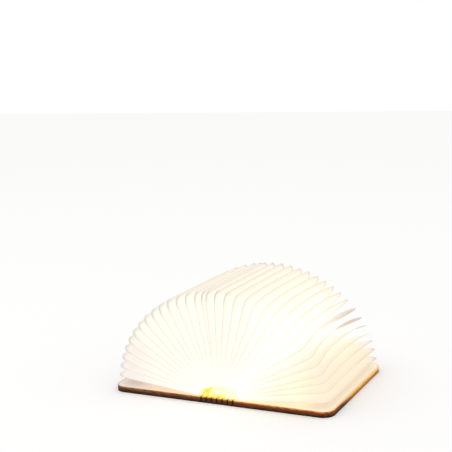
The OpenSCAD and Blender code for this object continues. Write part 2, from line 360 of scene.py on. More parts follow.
def outline_distance(finish, across, along):
    """How far a point is inside the board's outline, in metres, with round corners."""
    far_x = finish.minus(across, BOARD_REACH - BOARD_CORNER)
    far_y = finish.minus(along, BOARD_HALF_H - BOARD_CORNER)
    out_x = finish.math("MAXIMUM", far_x, 0.0)
    out_y = finish.math("MAXIMUM", far_y, 0.0)
    round_part = finish.math("SQRT", finish.plus(finish.times(out_x, out_x), finish.times(out_y, out_y)))
    straight_part = finish.math("MINIMUM", finish.math("MAXIMUM", far_x, far_y), 0.0)
    return finish.minus(BOARD_CORNER, finish.plus(round_part, straight_part))


def veneer_colour(finish, grain, across, along):
    """Pores and a slow figure between two pale tones, with the scorched line round them."""
    x, _, z = finish.axes()
    figure = finish.noise(110, stretch=(1, 0.06, 0.3), detail=3)
    pores = finish.times(finish.ramp_between(grain, *PORE_RANGE), PORE_SHARE)
    bands = finish.times(finish.ramp_between(figure, *FIGURE_RANGE), FIGURE_SHARE)
    veneer = finish.mix(finish.plus(pores, bands), VENEER_PALE, VENEER_DARK)
    lit_rim = finish.times(
        finish.ramp_between(x, *GOLDEN_RIM_X), finish.ramp_between(z, *GOLDEN_RIM_Z)
    )
    scorched = finish.ramp_between(outline_distance(finish, across, along), *SCORCH_RANGE)
    scorch_colour = finish.mix(lit_rim, SCORCH, GOLDEN_RIM)
    return finish.mix(finish.times(scorched, SCORCH_SHARE), veneer, scorch_colour)


print("veneer from", [round(part, 2) for part in VENEER_PALE], "to",
      [round(part, 2) for part in VENEER_DARK])

# %% [markdown]
# A burnt edge isn't one brown. It is darker at its foot and paler towards its top, which is
# painted light from the lit inner face, and slanting streaks and the board's plies break it
# up. So a level from 0 to 1 is shaken by two noises, and picks its colour from a ramp. There
# are three ramps, lit and shaded copies of the burnt wood: a dull one on the left, a redder
# one on the right, which is painted lamplight where the lamp shines over the edge, and a
# golden one on the right fore-edge, painted lamplight too, which sets in past the front
# corner along a slanting line. The edges of the spine's strips are darker, and charred
# beside each cut.

# %% Burnt edges
DULL_LEVELS = (
    (0.10, srgb(42, 22, 12)),
    (0.50, srgb(84, 50, 28)),
    (0.85, srgb(128, 84, 50)),
    (1.0, srgb(176, 112, 62)),
)
# Lit and golden ramps: painted lamplight on the right edge and on the right fore-edge.
LIT_LEVELS = (
    (0.12, srgb(44, 20, 9)),
    (0.50, srgb(100, 56, 30)),
    (0.82, srgb(150, 60, 24)),
    (1.0, srgb(222, 134, 56)),
)
GOLDEN_LEVELS = (
    (0.0, srgb(168, 82, 34)),
    (0.40, srgb(200, 136, 60)),
    (0.72, srgb(230, 178, 92)),
    (1.0, srgb(250, 222, 146)),
)
STREAK_SHARE = 0.75
UNEVENNESS = 1.9
DULL_TO_LIT_X = (-30 * MM, 12 * MM)
STRIP_PITCH = 2 * SPINE_HALF / 6
DARK_STRIP = srgb(66, 40, 24)
DARK_STRIP_SHARE = 0.55
CHARRED = srgb(34, 16, 9)
CHARRED_SHARE = 0.9
CHARRED_RANGE = (0.9 * MM, 0.3 * MM)
SPINE_FADE = (SPINE_HALF + 1.4 * MM, SPINE_HALF + 0.9 * MM)


def burnt_colour(finish, across, on_fore_edge):
    """The three ramps of burnt wood, with painted lamplight, and the darker ends of the spine's strips."""
    x, _, z = finish.axes()
    streaks = finish.noise(1100, stretch=(0.09, 0.7, 1), turn=(0, 0.30, 0), roughness=0.6)
    plies = finish.noise(500, stretch=(0.12, 0.12, 1.6))
    uneven = finish.plus(finish.times(streaks, STREAK_SHARE), finish.times(plies, 1 - STREAK_SHARE))
    # Painted lamplight: the burnt edge grows paler towards its top.
    level = finish.math("DIVIDE", z, BOARD_T)
    level = finish.plus(level, finish.times(finish.minus(uneven, 0.5), UNEVENNESS))
    to_right = finish.ramp_between(x, *DULL_TO_LIT_X)
    burnt = finish.mix(
        to_right, finish.colours(level, DULL_LEVELS), finish.colours(level, LIT_LEVELS)
    )
    burnt = finish.mix(on_fore_edge, burnt, finish.colours(level, GOLDEN_LEVELS))
    to_cut = finish.math("PINGPONG", finish.plus(x, SPINE_HALF), STRIP_PITCH / 2)
    on_spine = finish.ramp_between(across, *SPINE_FADE)
    burnt = finish.mix(finish.times(on_spine, DARK_STRIP_SHARE), burnt, DARK_STRIP)
    by_cut = finish.times(finish.ramp_between(to_cut, *CHARRED_RANGE), on_spine, CHARRED_SHARE)
    return finish.mix(by_cut, burnt, CHARRED)


print("cuts of the spine every", round(STRIP_PITCH / MM, 2), "mm")

# %% [markdown]
# The lamp lights the wood around it. A light placed inside the fan would need many samples
# to render without noise, so a glow of the wood's own stands for what it does: amber on
# the bare margin of the inner faces, gold on the top of the right edges, and full yellow
# on the strips under the pages' roots, where it turns orange at the very ends. Wood in the
# full light is also darkened, so that most of its colour comes from the glow.

# %% Light on the board
NO_GLOW = (0, 0, 0)
LIT_AMBER = (1.0, 0.30, 0.05)
LIT_GOLD = (1.0, 0.56, 0.16)
LIT_YELLOW = (0.80, 0.66, 0.16)
LIT_ORANGE = (0.80, 0.50, 0.05)
UPWARD = (0.7, 0.95)
MARGIN_X = (56 * MM, 12 * MM)
MARGIN_Z = (BOARD_T - 0.8 * MM, BOARD_T - 0.1 * MM)
MARGIN_STRENGTH = 0.36
MARGIN_SIDEWAYS = 0.3
TOP_BAND = (BOARD_T - 1.2 * MM, BOARD_T - 0.2 * MM)
RIGHT_GOLD = 0.10
FORE_EDGE_GOLD = 0.14
UNDER_ROOTS_X = (SPINE_HALF + 2.5 * MM, SPINE_HALF - 0.5 * MM)
UNDER_ROOTS_Z = (1.8 * MM, 3.8 * MM)
END_FACE = (0.6, 0.9)
NEAR_ENDS = (BOARD_HALF_H - 5 * MM, BOARD_HALF_H - 1 * MM)
ORANGE_ENDS = (BOARD_HALF_H - 4.5 * MM, BOARD_HALF_H - 1.5 * MM)


def margin_and_gold(finish, across, upward, on_right, on_fore_edge):
    """Glow of the inner faces' bare margin and of the top of the right edges."""
    z = finish.axes()[2]
    top_band = finish.ramp_between(z, *TOP_BAND)
    sideways = finish.plus(finish.times(upward, 1 - MARGIN_SIDEWAYS), MARGIN_SIDEWAYS)
    near_light = finish.ramp_between(across, *MARGIN_X)
    inner_face = finish.ramp_between(z, *MARGIN_Z)
    margin = finish.times(near_light, inner_face, MARGIN_STRENGTH, sideways)
    gold = finish.plus(
        finish.times(top_band, on_right, RIGHT_GOLD),
        finish.times(top_band, on_fore_edge, FORE_EDGE_GOLD),
    )
    return finish.mix(gold, finish.mix(margin, NO_GLOW, LIT_AMBER), LIT_GOLD, blend="ADD")


def full_light(finish, across, along, upward):
    """1 on the strips and in the cuts under the pages' roots, and 0 on their end faces
    and on the walls of the cuts close to the ends."""
    z = finish.axes()[2]
    turned_y = finish.axes("Normal")[1]
    end_face = finish.ramp_between(finish.math("ABSOLUTE", turned_y), *END_FACE)
    shaded = finish.times(finish.ramp_between(along, *NEAR_ENDS), finish.minus(1.0, upward))
    return finish.times(
        finish.ramp_between(across, *UNDER_ROOTS_X),
        finish.ramp_between(z, *UNDER_ROOTS_Z),
        finish.minus(1.0, end_face),
        finish.minus(1.0, shaded),
    )


print("full light within", round(UNDER_ROOTS_X[0] / MM, 1), "mm of the spine's middle")

# %% [markdown]
# The last cell of the wood puts the layers together: the veneer where the surface looks up
# or down, the burnt colours elsewhere, and the glow over both. The grain also roughens the
# gloss and gives the bumps.

# %% Board material
GRAIN = 900
FACE_RANGE = (0.75, 0.95)
RIGHT_X = (8 * MM, 40 * MM)
FORE_EDGE_TURN = (0.8, 0.99)
CORNER_SLOPE = 5.0
PAST_CORNER_Y = (-50 * MM, -18 * MM)
# Painted lamplight: the wood's colour is darkened under the painted glow, so the glow gives most of it.
GLOW_DIMMED_WOOD = (0.20, 0.12, 0.02)
GLOW_DIMMING_INNER = 0.4


def fore_edge_share(finish, on_right):
    """1 on the right fore-edge past its front corner, along a line that slants with z: the painted golden
    lamplight.
    """
    _, y, z = finish.axes()
    turned_x = finish.axes("Normal")[0]
    slanted = finish.plus(y, finish.times(finish.minus(z, BOARD_T), CORNER_SLOPE))
    past_corner = finish.ramp_between(slanted, *PAST_CORNER_Y)
    return finish.times(finish.ramp_between(turned_x, *FORE_EDGE_TURN), on_right, past_corner)


def board_wood():
    """Veneered board with burnt edges, lit by the lamp."""
    finish = Finish("burnt_edge_veneer")
    x, y, _ = finish.axes()
    turned_z = finish.axes("Normal")[2]
    across = finish.math("ABSOLUTE", x)
    along = finish.math("ABSOLUTE", y)
    grain = finish.noise(GRAIN, stretch=(1, 0.03, 0.2), detail=6, roughness=0.6)
    on_right = finish.ramp_between(x, *RIGHT_X)
    on_fore_edge = fore_edge_share(finish, on_right)
    on_face = finish.ramp_between(finish.math("ABSOLUTE", turned_z), *FACE_RANGE)
    veneer = veneer_colour(finish, grain, across, along)
    board = finish.mix(on_face, burnt_colour(finish, across, on_fore_edge), veneer)

    upward = finish.ramp_between(turned_z, *UPWARD)
    full = full_light(finish, across, along, upward)
    at_end = finish.ramp_between(along, *ORANGE_ENDS)
    glow = margin_and_gold(finish, across, upward, on_right, on_fore_edge)
    glow = finish.mix(full, glow, finish.mix(at_end, LIT_YELLOW, LIT_ORANGE))
    # Darkened wood under the painted glow of the tray, strongest at the ends of the spine.
    glow_dimming = finish.times(full, finish.plus(finish.times(at_end, 1 - GLOW_DIMMING_INNER), GLOW_DIMMING_INNER))
    finish.set(Base_Color=finish.mix(glow_dimming, board, GLOW_DIMMED_WOOD))
    finish.set(Emission_Color=glow, Emission_Strength=1.0)
    finish.set(Roughness=finish.plus(finish.times(grain, 0.25), 0.5), Specular_IOR_Level=0.15)
    finish.bumps(grain, 0.35, 0.15 * MM)
    return finish.material


wood = board_wood()
print("wood:", len(wood.node_tree.nodes), "nodes")

# %% [markdown]
# ## Paper
#
# The pages are smooth tear-proof paper. Light from the tray fills each pocket, so a page
# is brightest and yellowest at its root, cream in the middle, and greyer along its sealed
# rim, where two sheets lie flat on each other and little light gets through. Light that
# really passed through thirty pockets would be slow to render, so the glow is part of the
# paper. Some of a page's brightness is its own glow and some is the light that falls on
# it, so that the valleys between pages still show.
#
# Five attributes of the page mesh steer the glow: reach is how far out a point lies, seam
# and border how close it is to the sealed edge, dull how far it belongs to the outermost
# rim, and inside says that it faces into the pocket.

# %% Glow along a page
ROOT_GLOW = (0.80, 0.66, 0.12)
GLOW_STOPS = (
    (0.0, ROOT_GLOW),
    (0.006, (0.78, 0.73, 0.66)),
    (0.22, (0.80, 0.775, 0.69)),
    (1.0, (0.77, 0.735, 0.64)),
)
ROSE_GLOW = (0.70, 0.64, 0.62)
HONEY_GLOW = (0.75, 0.66, 0.46)
SIDE_SHARE = 0.9
LOW_Z = (62 * MM, 12 * MM)
ROSE_X = (-20 * MM, -88 * MM)
HONEY_X = (15 * MM, 80 * MM)


def glow_along(finish, reach):
    """Cream glow from root to tip, rosy low on the left and like honey low on the right."""
    x, _, z = finish.axes()
    low = finish.ramp_between(z, *LOW_Z)
    rosy = finish.times(finish.ramp_between(x, *ROSE_X), low, SIDE_SHARE)
    honey = finish.times(finish.ramp_between(x, *HONEY_X), low, SIDE_SHARE)
    glow = finish.mix(rosy, finish.colours(reach, GLOW_STOPS), ROSE_GLOW)
    return finish.mix(honey, glow, HONEY_GLOW)


print("stops along a page:", len(GLOW_STOPS))

# %% [markdown]
# The sealed rim takes light away in three steps: a soft border that is stronger on the
# right, a thin line on the seam itself, golden far out on the right, and the dull outermost
# rim, greyish on the left and rosy on the right. The dull rim is weaker where the light
# washes it out, high up and at the front on the right. The undersides of the low pages get
# the least light of all.

# %% Glow at the rims
EDGE_GLOW = (0.67, 0.585, 0.455)
BORDER_LEAST = 0.3
BORDER_MORE = 0.5
BORDER_X = (-15 * MM, 20 * MM)
SEAM_GLOW = (0.60, 0.50, 0.42)
SEAM_GOLD = (0.66, 0.50, 0.22)
SEAM_GOLD_X = (25 * MM, 60 * MM)
SEAM_SHARE = 0.7
OUTWARD = (0.0, 0.5)
UNDER_GLOW = (0.34, 0.24, 0.222)
UNDER_TURN = (-0.70, -0.82)
UNDER_REACH = (0.62, 0.86)
UNDER_SHARE = 0.9
UNDER_SEAM = 0.8
DULL_GREY = (0.43, 0.42, 0.38)
DULL_ROSE = (0.42, 0.31, 0.27)
DULL_ROSE_X = (-25 * MM, 15 * MM)
NEAR_RIGHT_X = (25 * MM, 45 * MM)
NEAR_RIGHT_Y = (20 * MM, 0.0)
NEAR_RIGHT_LOSS = 0.8
HIGH_X = (0.0, 20 * MM)
HIGH_Z = (48 * MM, 62 * MM)
HIGH_LOSS = 0.55


def rim_glow(finish, glow, reach, seam):
    """The glow with its border and its seam line, which fade out towards the root."""
    x = finish.axes()[0]
    outward = finish.ramp_between(reach, *OUTWARD)
    rightward = finish.times(finish.ramp_between(x, *BORDER_X), BORDER_MORE)
    border_share = finish.plus(rightward, BORDER_LEAST)
    border = finish.times(finish.value_of("border"), outward, border_share)
    glow = finish.mix(border, glow, EDGE_GLOW)
    seam_colour = finish.mix(finish.ramp_between(x, *SEAM_GOLD_X), SEAM_GLOW, SEAM_GOLD)
    return finish.mix(finish.times(seam, outward, SEAM_SHARE), glow, seam_colour)


def shaded_glow(finish, glow, reach, seam):
    """The glow with the undersides of the low pages and the dull outermost rims."""
    x, y, z = finish.axes()
    turned_z = finish.axes("Normal")[2]
    under = finish.times(
        finish.ramp_between(turned_z, *UNDER_TURN),
        finish.ramp_between(reach, *UNDER_REACH),
        UNDER_SHARE,
        finish.minus(1.0, finish.times(seam, UNDER_SEAM)),
    )
    glow = finish.mix(under, glow, UNDER_GLOW)
    near_right = finish.times(
        finish.ramp_between(x, *NEAR_RIGHT_X), finish.ramp_between(y, *NEAR_RIGHT_Y), NEAR_RIGHT_LOSS
    )
    high = finish.times(
        finish.ramp_between(x, *HIGH_X), finish.ramp_between(z, *HIGH_Z), HIGH_LOSS
    )
    kept = finish.minus(finish.minus(1.0, near_right), high)
    dull_colour = finish.mix(finish.ramp_between(x, *DULL_ROSE_X), DULL_GREY, DULL_ROSE)
    return finish.mix(finish.times(finish.value_of("dull"), kept), glow, dull_colour)


print("undersides from a slope of", UNDER_TURN[0], "to", UNDER_TURN[1])

# %% [markdown]
# The page's finish puts the glows together and adds what paper is made of: fibres, which
# give a faint tint and bumps, and slow clouds in its strength. The end papers glued inside
# the covers only catch the light, so they are tinted by how far they lie from the lamp:
# grey-white at the fore-edge, then rosy, then amber.

# %% Paper of the pages and the end papers
PAPER = srgb(250, 247, 242)
PAPER_SHARE = 0.34
FIBRE_RANGE = (0.3, 0.75)
FIBRE_SHADE = 0.94
AT_ROOT = (0.012, 0.002)
END_PAPER_STOPS = (
    (0.0, srgb(232, 231, 228)),
    (0.25, srgb(236, 222, 214)),
    (0.6, srgb(243, 218, 194)),
    (1.0, srgb(248, 222, 184)),
)
END_PAPER_X = (92 * MM, 14 * MM)
END_PAPER_CLOUDS = 0.12
END_PAPER_FIBRE = srgb(190, 175, 160)
END_PAPER_FIBRE_SHARE = 0.06
LEFT_SHINE = (0.10, 0.08, 0.06)
RIGHT_SHINE = (0.31, 0.25, 0.14)
SHINE_X = (0.0, 10 * MM)


def page_paper():
    """Smooth white paper that glows from within."""
    finish = Finish("glowing_page_paper")
    reach = finish.value_of("reach")
    seam = finish.value_of("seam")
    fibres = finish.noise(1500, stretch=(1, 0.6, 1), detail=5, roughness=0.7)
    clouds = finish.noise(70, detail=3)
    glow = rim_glow(finish, glow_along(finish, reach), reach, seam)
    glow = shaded_glow(finish, glow, reach, seam)
    at_root = finish.times(finish.value_of("inside"), finish.ramp_between(reach, *AT_ROOT))
    glow = finish.mix(at_root, glow, ROOT_GLOW)
    strength = finish.plus(finish.times(clouds, 0.10), 0.95)
    paper = dimmed(PAPER, PAPER_SHARE)
    tint = finish.mix(finish.ramp_between(fibres, *FIBRE_RANGE), paper, dimmed(paper, FIBRE_SHADE))
    finish.set(Base_Color=tint, Emission_Color=glow, Emission_Strength=strength)
    finish.set(Roughness=0.62, Specular_IOR_Level=0.3)
    finish.bumps(fibres, 0.25, 0.05 * MM)
    return finish.material


def end_paper():
    """White paper that the lamp tints, more so the nearer it lies to the spine."""
    finish = Finish("lit_end_paper")
    x = finish.axes()[0]
    fibres = finish.noise(1300, detail=5, roughness=0.7)
    clouds = finish.noise(90, detail=3)
    near = finish.ramp_between(finish.math("ABSOLUTE", x), *END_PAPER_X)
    near = finish.plus(near, finish.times(finish.minus(clouds, 0.5), END_PAPER_CLOUDS))
    tint = finish.colours(near, END_PAPER_STOPS)
    tint = finish.mix(finish.times(fibres, END_PAPER_FIBRE_SHARE), tint, END_PAPER_FIBRE)
    shine = finish.mix(finish.ramp_between(x, *SHINE_X), LEFT_SHINE, RIGHT_SHINE)
    finish.set(Base_Color=tint, Emission_Color=shine, Emission_Strength=1.0)
    finish.set(Roughness=0.6, Specular_IOR_Level=0.3)
    finish.bumps(fibres, 0.2, 0.04 * MM)
    return finish.material


page_finish = page_paper()
end_paper_finish = end_paper()
print("paper finishes:", page_finish.name, end_paper_finish.name)

# %% [markdown]
# ## Finishes of the light tray and what is in it
#
# Little of the tray is seen, but it is a real thing inside, so each piece has its own
# finish. One function serves nearly all: a colour that drifts a little, a fine grain in
# the gloss, and a little grain in the surface. The tray itself is milky plastic that the
# light shines through, orange at its foot and yellow at its rim, so it has its own.

# %% Finishes of the light tray
TRAY_Z = (4.9 * MM, 9.5 * MM)
TRAY_STOPS = ((0.0, (0.76, 0.48, 0.04)), (0.3, (0.72, 0.62, 0.14)), (1.0, (0.70, 0.69, 0.46)))
TRAY_PLASTIC = (0.40, 0.39, 0.33)
DIFFUSER_PLASTIC = (0.42, 0.41, 0.36)
DIFFUSER_GLOW = (0.74, 0.70, 0.40)
EMITTER_GLOW = (1.0, 0.93, 0.6)
FINE_GRAIN = 900
METAL_GRAIN = 3000
FOAM_GRAIN = 2500


def small_finish(
    name, colour, roughness, metal=0.0, drift=0.12, grain=FINE_GRAIN, glow=None, strength=0.0
):
    """A colour with slow drift, fine grain in its gloss, and metal or glow where given."""
    finish = Finish(name)
    slow = finish.noise(160, detail=3)
    fine = finish.noise(grain)
    tint = finish.mix(slow, colour, dimmed(colour, 1 - drift))
    spread = 0.3 * roughness
    gloss = finish.plus(finish.times(fine, spread), roughness - spread / 2)
    finish.set(Base_Color=tint, Metallic=metal, Roughness=gloss)
    if glow:
        shine = finish.times(finish.plus(finish.times(slow, 0.3), 0.85), strength)
        finish.set(Emission_Color=glow, Emission_Strength=shine)
    finish.bumps(fine, 0.15, 0.03 * MM)
    return finish.material


def lit_tray():
    """Milky plastic that glows orange at its foot and yellow at its rim."""
    finish = Finish("lit_tray_plastic")
    fine = finish.noise(FINE_GRAIN)
    glow = finish.colours(finish.ramp_between(finish.axes()[2], *TRAY_Z), TRAY_STOPS)
    finish.set(Base_Color=TRAY_PLASTIC, Emission_Color=glow, Emission_Strength=1.0)
    finish.set(Roughness=finish.plus(finish.times(fine, 0.15), 0.38))
    finish.bumps(fine, 0.12, 0.03 * MM)
    return finish.material


TRAY_FINISHES = {
    "light_tray": lit_tray(),
    "tray_pad": small_finish("foam_strip", srgb(70, 70, 72), 0.95, grain=FOAM_GRAIN),
    "diffuser": small_finish("frosted_cover", DIFFUSER_PLASTIC, 0.4, glow=DIFFUSER_GLOW, strength=1.0),
    "led_board": small_finish("white_board", srgb(236, 238, 233), 0.35, drift=0.05),
    "leds": small_finish("lit_resin", srgb(255, 226, 120), 0.25, glow=EMITTER_GLOW, strength=1.6),
    "battery": small_finish("cell_film", srgb(150, 160, 170), 0.3),
    "battery_leads": small_finish("lead_insulation", srgb(170, 36, 30), 0.45),
    "charge_board": small_finish("green_board", srgb(38, 104, 62), 0.35),
    "charge_socket": small_finish("bright_shell", srgb(205, 207, 210), 0.28, metal=1.0, grain=METAL_GRAIN),
    "socket_tongue": small_finish("tongue_plastic", srgb(34, 34, 36), 0.45),
    "control_chip": small_finish("chip_resin", srgb(48, 48, 52), 0.5),
    "reed_switch": small_finish("switch_glass", srgb(196, 222, 200), 0.12),
    "board_pins": small_finish("plated_pins", srgb(226, 190, 110), 0.25, metal=1.0, grain=METAL_GRAIN),
}
magnet_finish = small_finish("nickel_plating", srgb(205, 205, 205), 0.22, metal=1.0, grain=METAL_GRAIN)
print("tray finishes:", len(TRAY_FINISHES))

# %% [markdown]
# ## Covers, spine, end papers and the tray
#
# These solids already have their true shape: a laser leaves sharp edges, and the slits of
# the spine are real cuts. They could be rebuilt with soft edges, but that would be less
# true, so they stay as they are and only take their finishes.

# %% Finishes on the solids that stay
def dress(node, material):
    """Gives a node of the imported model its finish."""
    nodes[node].data.materials.clear()
    nodes[node].data.materials.append(material)


for node in nodes:
    if node.endswith("_cover") or node.startswith("spine_strip"):
        dress(node, wood)
    elif node.endswith("_end_paper"):
        dress(node, end_paper_finish)
    elif node.endswith("_magnet"):
        dress(node, magnet_finish)
    elif node in TRAY_FINISHES:
        dress(node, TRAY_FINISHES[node])
print("dressed the solids of the board and the tray")

# %% [markdown]
# ## Pages
#
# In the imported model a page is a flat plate. The real one is a pocket of two sheets,
# sealed flat along the head, the fore-edge and the tail, and open at its root, where each
# sheet folds over into the sheet of the next page. So each page is built as two thin
# sheets. Cloth could be blown up between the seals, but a formula gives a soft opening at
# once, and the same one each time. The root and the direction of each page are measured
# from its plate, so the fan stays exactly where the frame has it.

# %% Where each page stands
def page_line(number):
    """Root and direction of a page in the x-z plane, its length, from its plate.

    The direction is the longest spread of the plate's points as seen from the head, and
    the root is the end that lies nearer to the spine.
    """
    mesh = nodes[f"page_{number:02d}"].data
    points = np.zeros(len(mesh.vertices) * 3)
    mesh.vertices.foreach_get("co", points)
    flat = points.reshape(-1, 3)[:, [0, 2]]
    middle = (flat.min(0) + flat.max(0)) / 2
    spread = flat - flat.mean(0)
    direction = np.linalg.svd(spread.T @ spread)[0][:, 0]
    along = (flat - middle) @ direction
    if np.hypot(*(middle + direction * along.max())) < np.hypot(*(middle + direction * along.min())):
        direction, along = -direction, -along
    root = middle + direction * along.min()
    return root, direction, along.max() - along.min()


page_lines = [page_line(number) for number in range(1, PAGE_COUNT + 1)]
page_roots = np.array([line[0] for line in page_lines])
page_directions = np.array([line[1] for line in page_lines])
PAGE_LENGTH = float(np.mean([line[2] for line in page_lines]))
root_steps = np.hypot(*np.diff(page_roots, axis=0).T)
print("page length", round(PAGE_LENGTH / MM, 2), "mm, root steps",
      (root_steps.min() / MM).round(2), "to", (root_steps.max() / MM).round(2), "mm")

# %% [markdown]
# The valley between two pages lies half-way between their roots, and the grid of a sheet
# runs from there to the fore-edge. It has the outline of the plate, with its round
# corners, and more lines where the shape turns: at the root, over the sealed rim and round
# the corners. A depth field opens the pocket from the sealed rim down to the root.

# %% Grid and opening of a sheet
PAGE_CORNER = 7.5 * MM
RIM = 2.6 * MM
SEALED = 0.8 * RIM
RIM_BLEND = 7 * MM
MOUTH = 7 * MM
MOUTH_GAIN = 2.2
VALLEY_LIFT = 0.02 * MM
END_PAPER_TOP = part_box("right_end_paper")[1].z

inner_reach = np.array([0, 0.7, 1.5, 2.5, 4, 6, 9, 14, 21, 30, 40, 50, 58, 63, 66.5]) * MM
corner_turn = np.radians(np.linspace(0, 90, 9))
sheet_reach = np.concatenate([inner_reach, PAGE_LENGTH - PAGE_CORNER * (1 - np.sin(corner_turn))])
edge_steps = np.array([0, 0.6, 1.2, 1.9, 2.6, 3.4, 4.4, 5.8, 8, 12, 20, 34, 50]) * MM
side_share = 1 - edge_steps / PAGE_HALF_H
side_share = np.concatenate([-side_share, side_share[::-1]])


def sheet_grid():
    """Grid over a page: how far out and how far along the spine each point lies.

    The half height is full up to the corner, and then falls as a quarter circle.
    """
    past = np.clip(sheet_reach - (PAGE_LENGTH - PAGE_CORNER), 0, PAGE_CORNER)
    half = PAGE_HALF_H - PAGE_CORNER + np.sqrt(PAGE_CORNER**2 - past**2)
    along = half[:, None] * side_share[None, :]
    out = np.repeat(sheet_reach[:, None], along.shape[1], 1)
    return out, along, half[:, None]


def pocket_opening(out, along, half):
    """0 where the sheets are sealed together and 1 where the pocket is open, and the
    distance from the sealed edges that decides it.

    Near the root the seal at the head and the tail ends, so the distance grows there and
    the mouth of the pocket stays open.
    """
    mouth = MOUTH_GAIN * RIM_BLEND * np.clip(1 - out / MOUTH, 0, 1) ** 2
    from_edge = np.minimum(half - np.abs(along) + mouth, PAGE_LENGTH - out)
    return smooth_step(from_edge, SEALED, RIM_BLEND), from_edge


def valley_at(number):
    """Point half-way between the roots of a page and the next, both counted from 1. Past
    the first and the last page it lies on the board, half a step below the root."""
    if number in (0, PAGE_COUNT):
        end, beside = (0, 1) if number == 0 else (-1, -2)
        point = page_roots[end] - (page_roots[beside] - page_roots[end]) / 2
        return np.array([point[0], max(point[1], END_PAPER_TOP + VALLEY_LIFT)])
    return (page_roots[number - 1] + page_roots[number]) / 2


print("grid of a sheet:", len(sheet_reach), "x", len(side_share), "points")

# %% [markdown]
# A real page isn't plane either. Each bows a little in its own way. A page that leans
# arches up at mid height and its far corners hang, lowest of all on the lower right, where
# their undersides come into sight. An upright page and one that lies flat stay plane. A
# cloth simulation could sag the pages too, but they lie close beside each other. One
# smooth law bends neighbours almost alike, and that keeps them apart.

# %% Bow and rise of a page
BOW = 0.38 * MM
BOW_STEP = 2.4
BOW_START = 0.7
TWIST = 0.6
TWIST_STEP = 3.7
EDGE_RISE = 6.0 * MM
CORNER_DROOP = 4.2 * MM
LOW_DROOP = 3.8 * MM
DROOP_POWER = 2.5
LOW_FROM = (0.79, 0.86)
LOW_UNTIL = (0.94, 0.985)


def page_rise(direction, out, along):
    """How far a leaning page rises out of its plane, on the side that faces up.

    With t the share of its length and s the share of its half height, it is the sine of
    twice the lean, times t^2 * (rise - droop * s^2.5). The droop is larger for the low
    pages of the right side, which the level part of their direction picks out.
    """
    t = out / PAGE_LENGTH
    s = np.abs(along) / PAGE_HALF_H
    level, upright = direction
    low_right = smooth_step(level, *LOW_FROM) * (1 - smooth_step(level, *LOW_UNTIL))
    droop = CORNER_DROOP + LOW_DROOP * low_right
    return 2 * level * upright * t**2 * (EDGE_RISE - droop * s**DROOP_POWER)


def page_bow(number):
    """How far a page bows out of its plane at mid length, and how much more at its head
    than at its tail, from sines of its number that never fall into step."""
    return BOW * np.sin(BOW_STEP * number + BOW_START), TWIST * np.sin(TWIST_STEP * number)


print("bows of the first pages:", [round(page_bow(number)[0] / MM, 2) for number in (1, 2, 3)], "mm")

# %% [markdown]
# Now a sheet can be worked out: its outer and its inner surface, and the attributes that
# its finish reads. The two surfaces are a tenth of a millimetre apart and are closed round
# the rim, so that the sheet is a true thin solid.

# %% Sheets of the pages
SHEET_T = 0.1 * MM
SEAL_GAP = 0.01 * MM
BULGE = 1.25
SHADED_BORDER = 11 * MM
SEAM_LINE = (0.3 * MM, 1.5 * MM)
DULL_RIM = (1.2 * MM, 3.8 * MM)
DULL_CORNER = (3 * MM, 12 * MM)
DULL_LOSS_ALONG = 0.7
DULL_LOSS_INWARD = 0.85


def sheet_points(number, root, direction, valley, side):
    """Outer and inner surface of one sheet of a page.

    A point lies out along the page, off it by the seal's half thickness, and further off
    by the valley's distance times 1 - t^1.25 and the pocket's opening, where t is the
    share of the way to the fore-edge. The valley's distance along the page fades as
    (1 - t)^2. Both sheets bow and rise together, by the page's own bow times sin(pi t)
    and by the rise of a leaning page.
    """
    out, along, half = sheet_grid()
    opening, _ = pocket_opening(out, along, half)
    normal = side * np.array([-direction[1], direction[0]])
    share = np.clip(out / (PAGE_LENGTH - RIM), 0, 1)
    off_valley = max(float((valley - root) @ normal), SHEET_T + SEAL_GAP)
    along_valley = float((valley - root) @ direction)
    width = (off_valley - SHEET_T - SEAL_GAP) * (1 - share**BULGE) * opening
    travel = out + along_valley * (1 - share) ** 2
    bow, twist = page_bow(number)
    bowed = bow * np.sin(np.pi * out / PAGE_LENGTH) * (1 + twist * along / PAGE_HALF_H)
    bowed = side * (bowed + page_rise(direction, out, along))
    surfaces = []
    for lift in (SEAL_GAP + SHEET_T, SEAL_GAP):
        off = width + lift + bowed
        x = root[0] + direction[0] * travel + normal[0] * off
        z = root[1] + direction[1] * travel + normal[1] * off
        surfaces.append(np.stack([x, along, z], -1))
    return surfaces


def sheet_attributes(surface_count):
    """What the finish reads, once for the outer and once for the inner surface.

    Each is 1 on the sealed edge and falls off inwards: seam over a thin line, border over
    a wide band, and dull over the rim, where it also fades away from the outer corners.
    """
    out, along, half = sheet_grid()
    _, from_edge = pocket_opening(out, along, half)
    to_corner = np.hypot(PAGE_HALF_H - np.abs(along), PAGE_LENGTH - out)
    dull = 1 - smooth_step(from_edge, *DULL_RIM)
    dull = dull * (1 - DULL_LOSS_ALONG * smooth_step(to_corner, *DULL_CORNER))
    dull = dull * (1 - DULL_LOSS_INWARD * smooth_step(PAGE_LENGTH - out, *DULL_CORNER))
    fields = {
        "reach": out / PAGE_LENGTH,
        "seam": 1 - smooth_step(from_edge, *SEAM_LINE),
        "border": 1 - smooth_step(from_edge, 0, SHADED_BORDER),
        "dull": dull,
    }
    attributes = {key: np.tile(field.ravel(), 2) for key, field in fields.items()}
    attributes["inside"] = np.repeat([0.0, 1.0], surface_count)
    return attributes


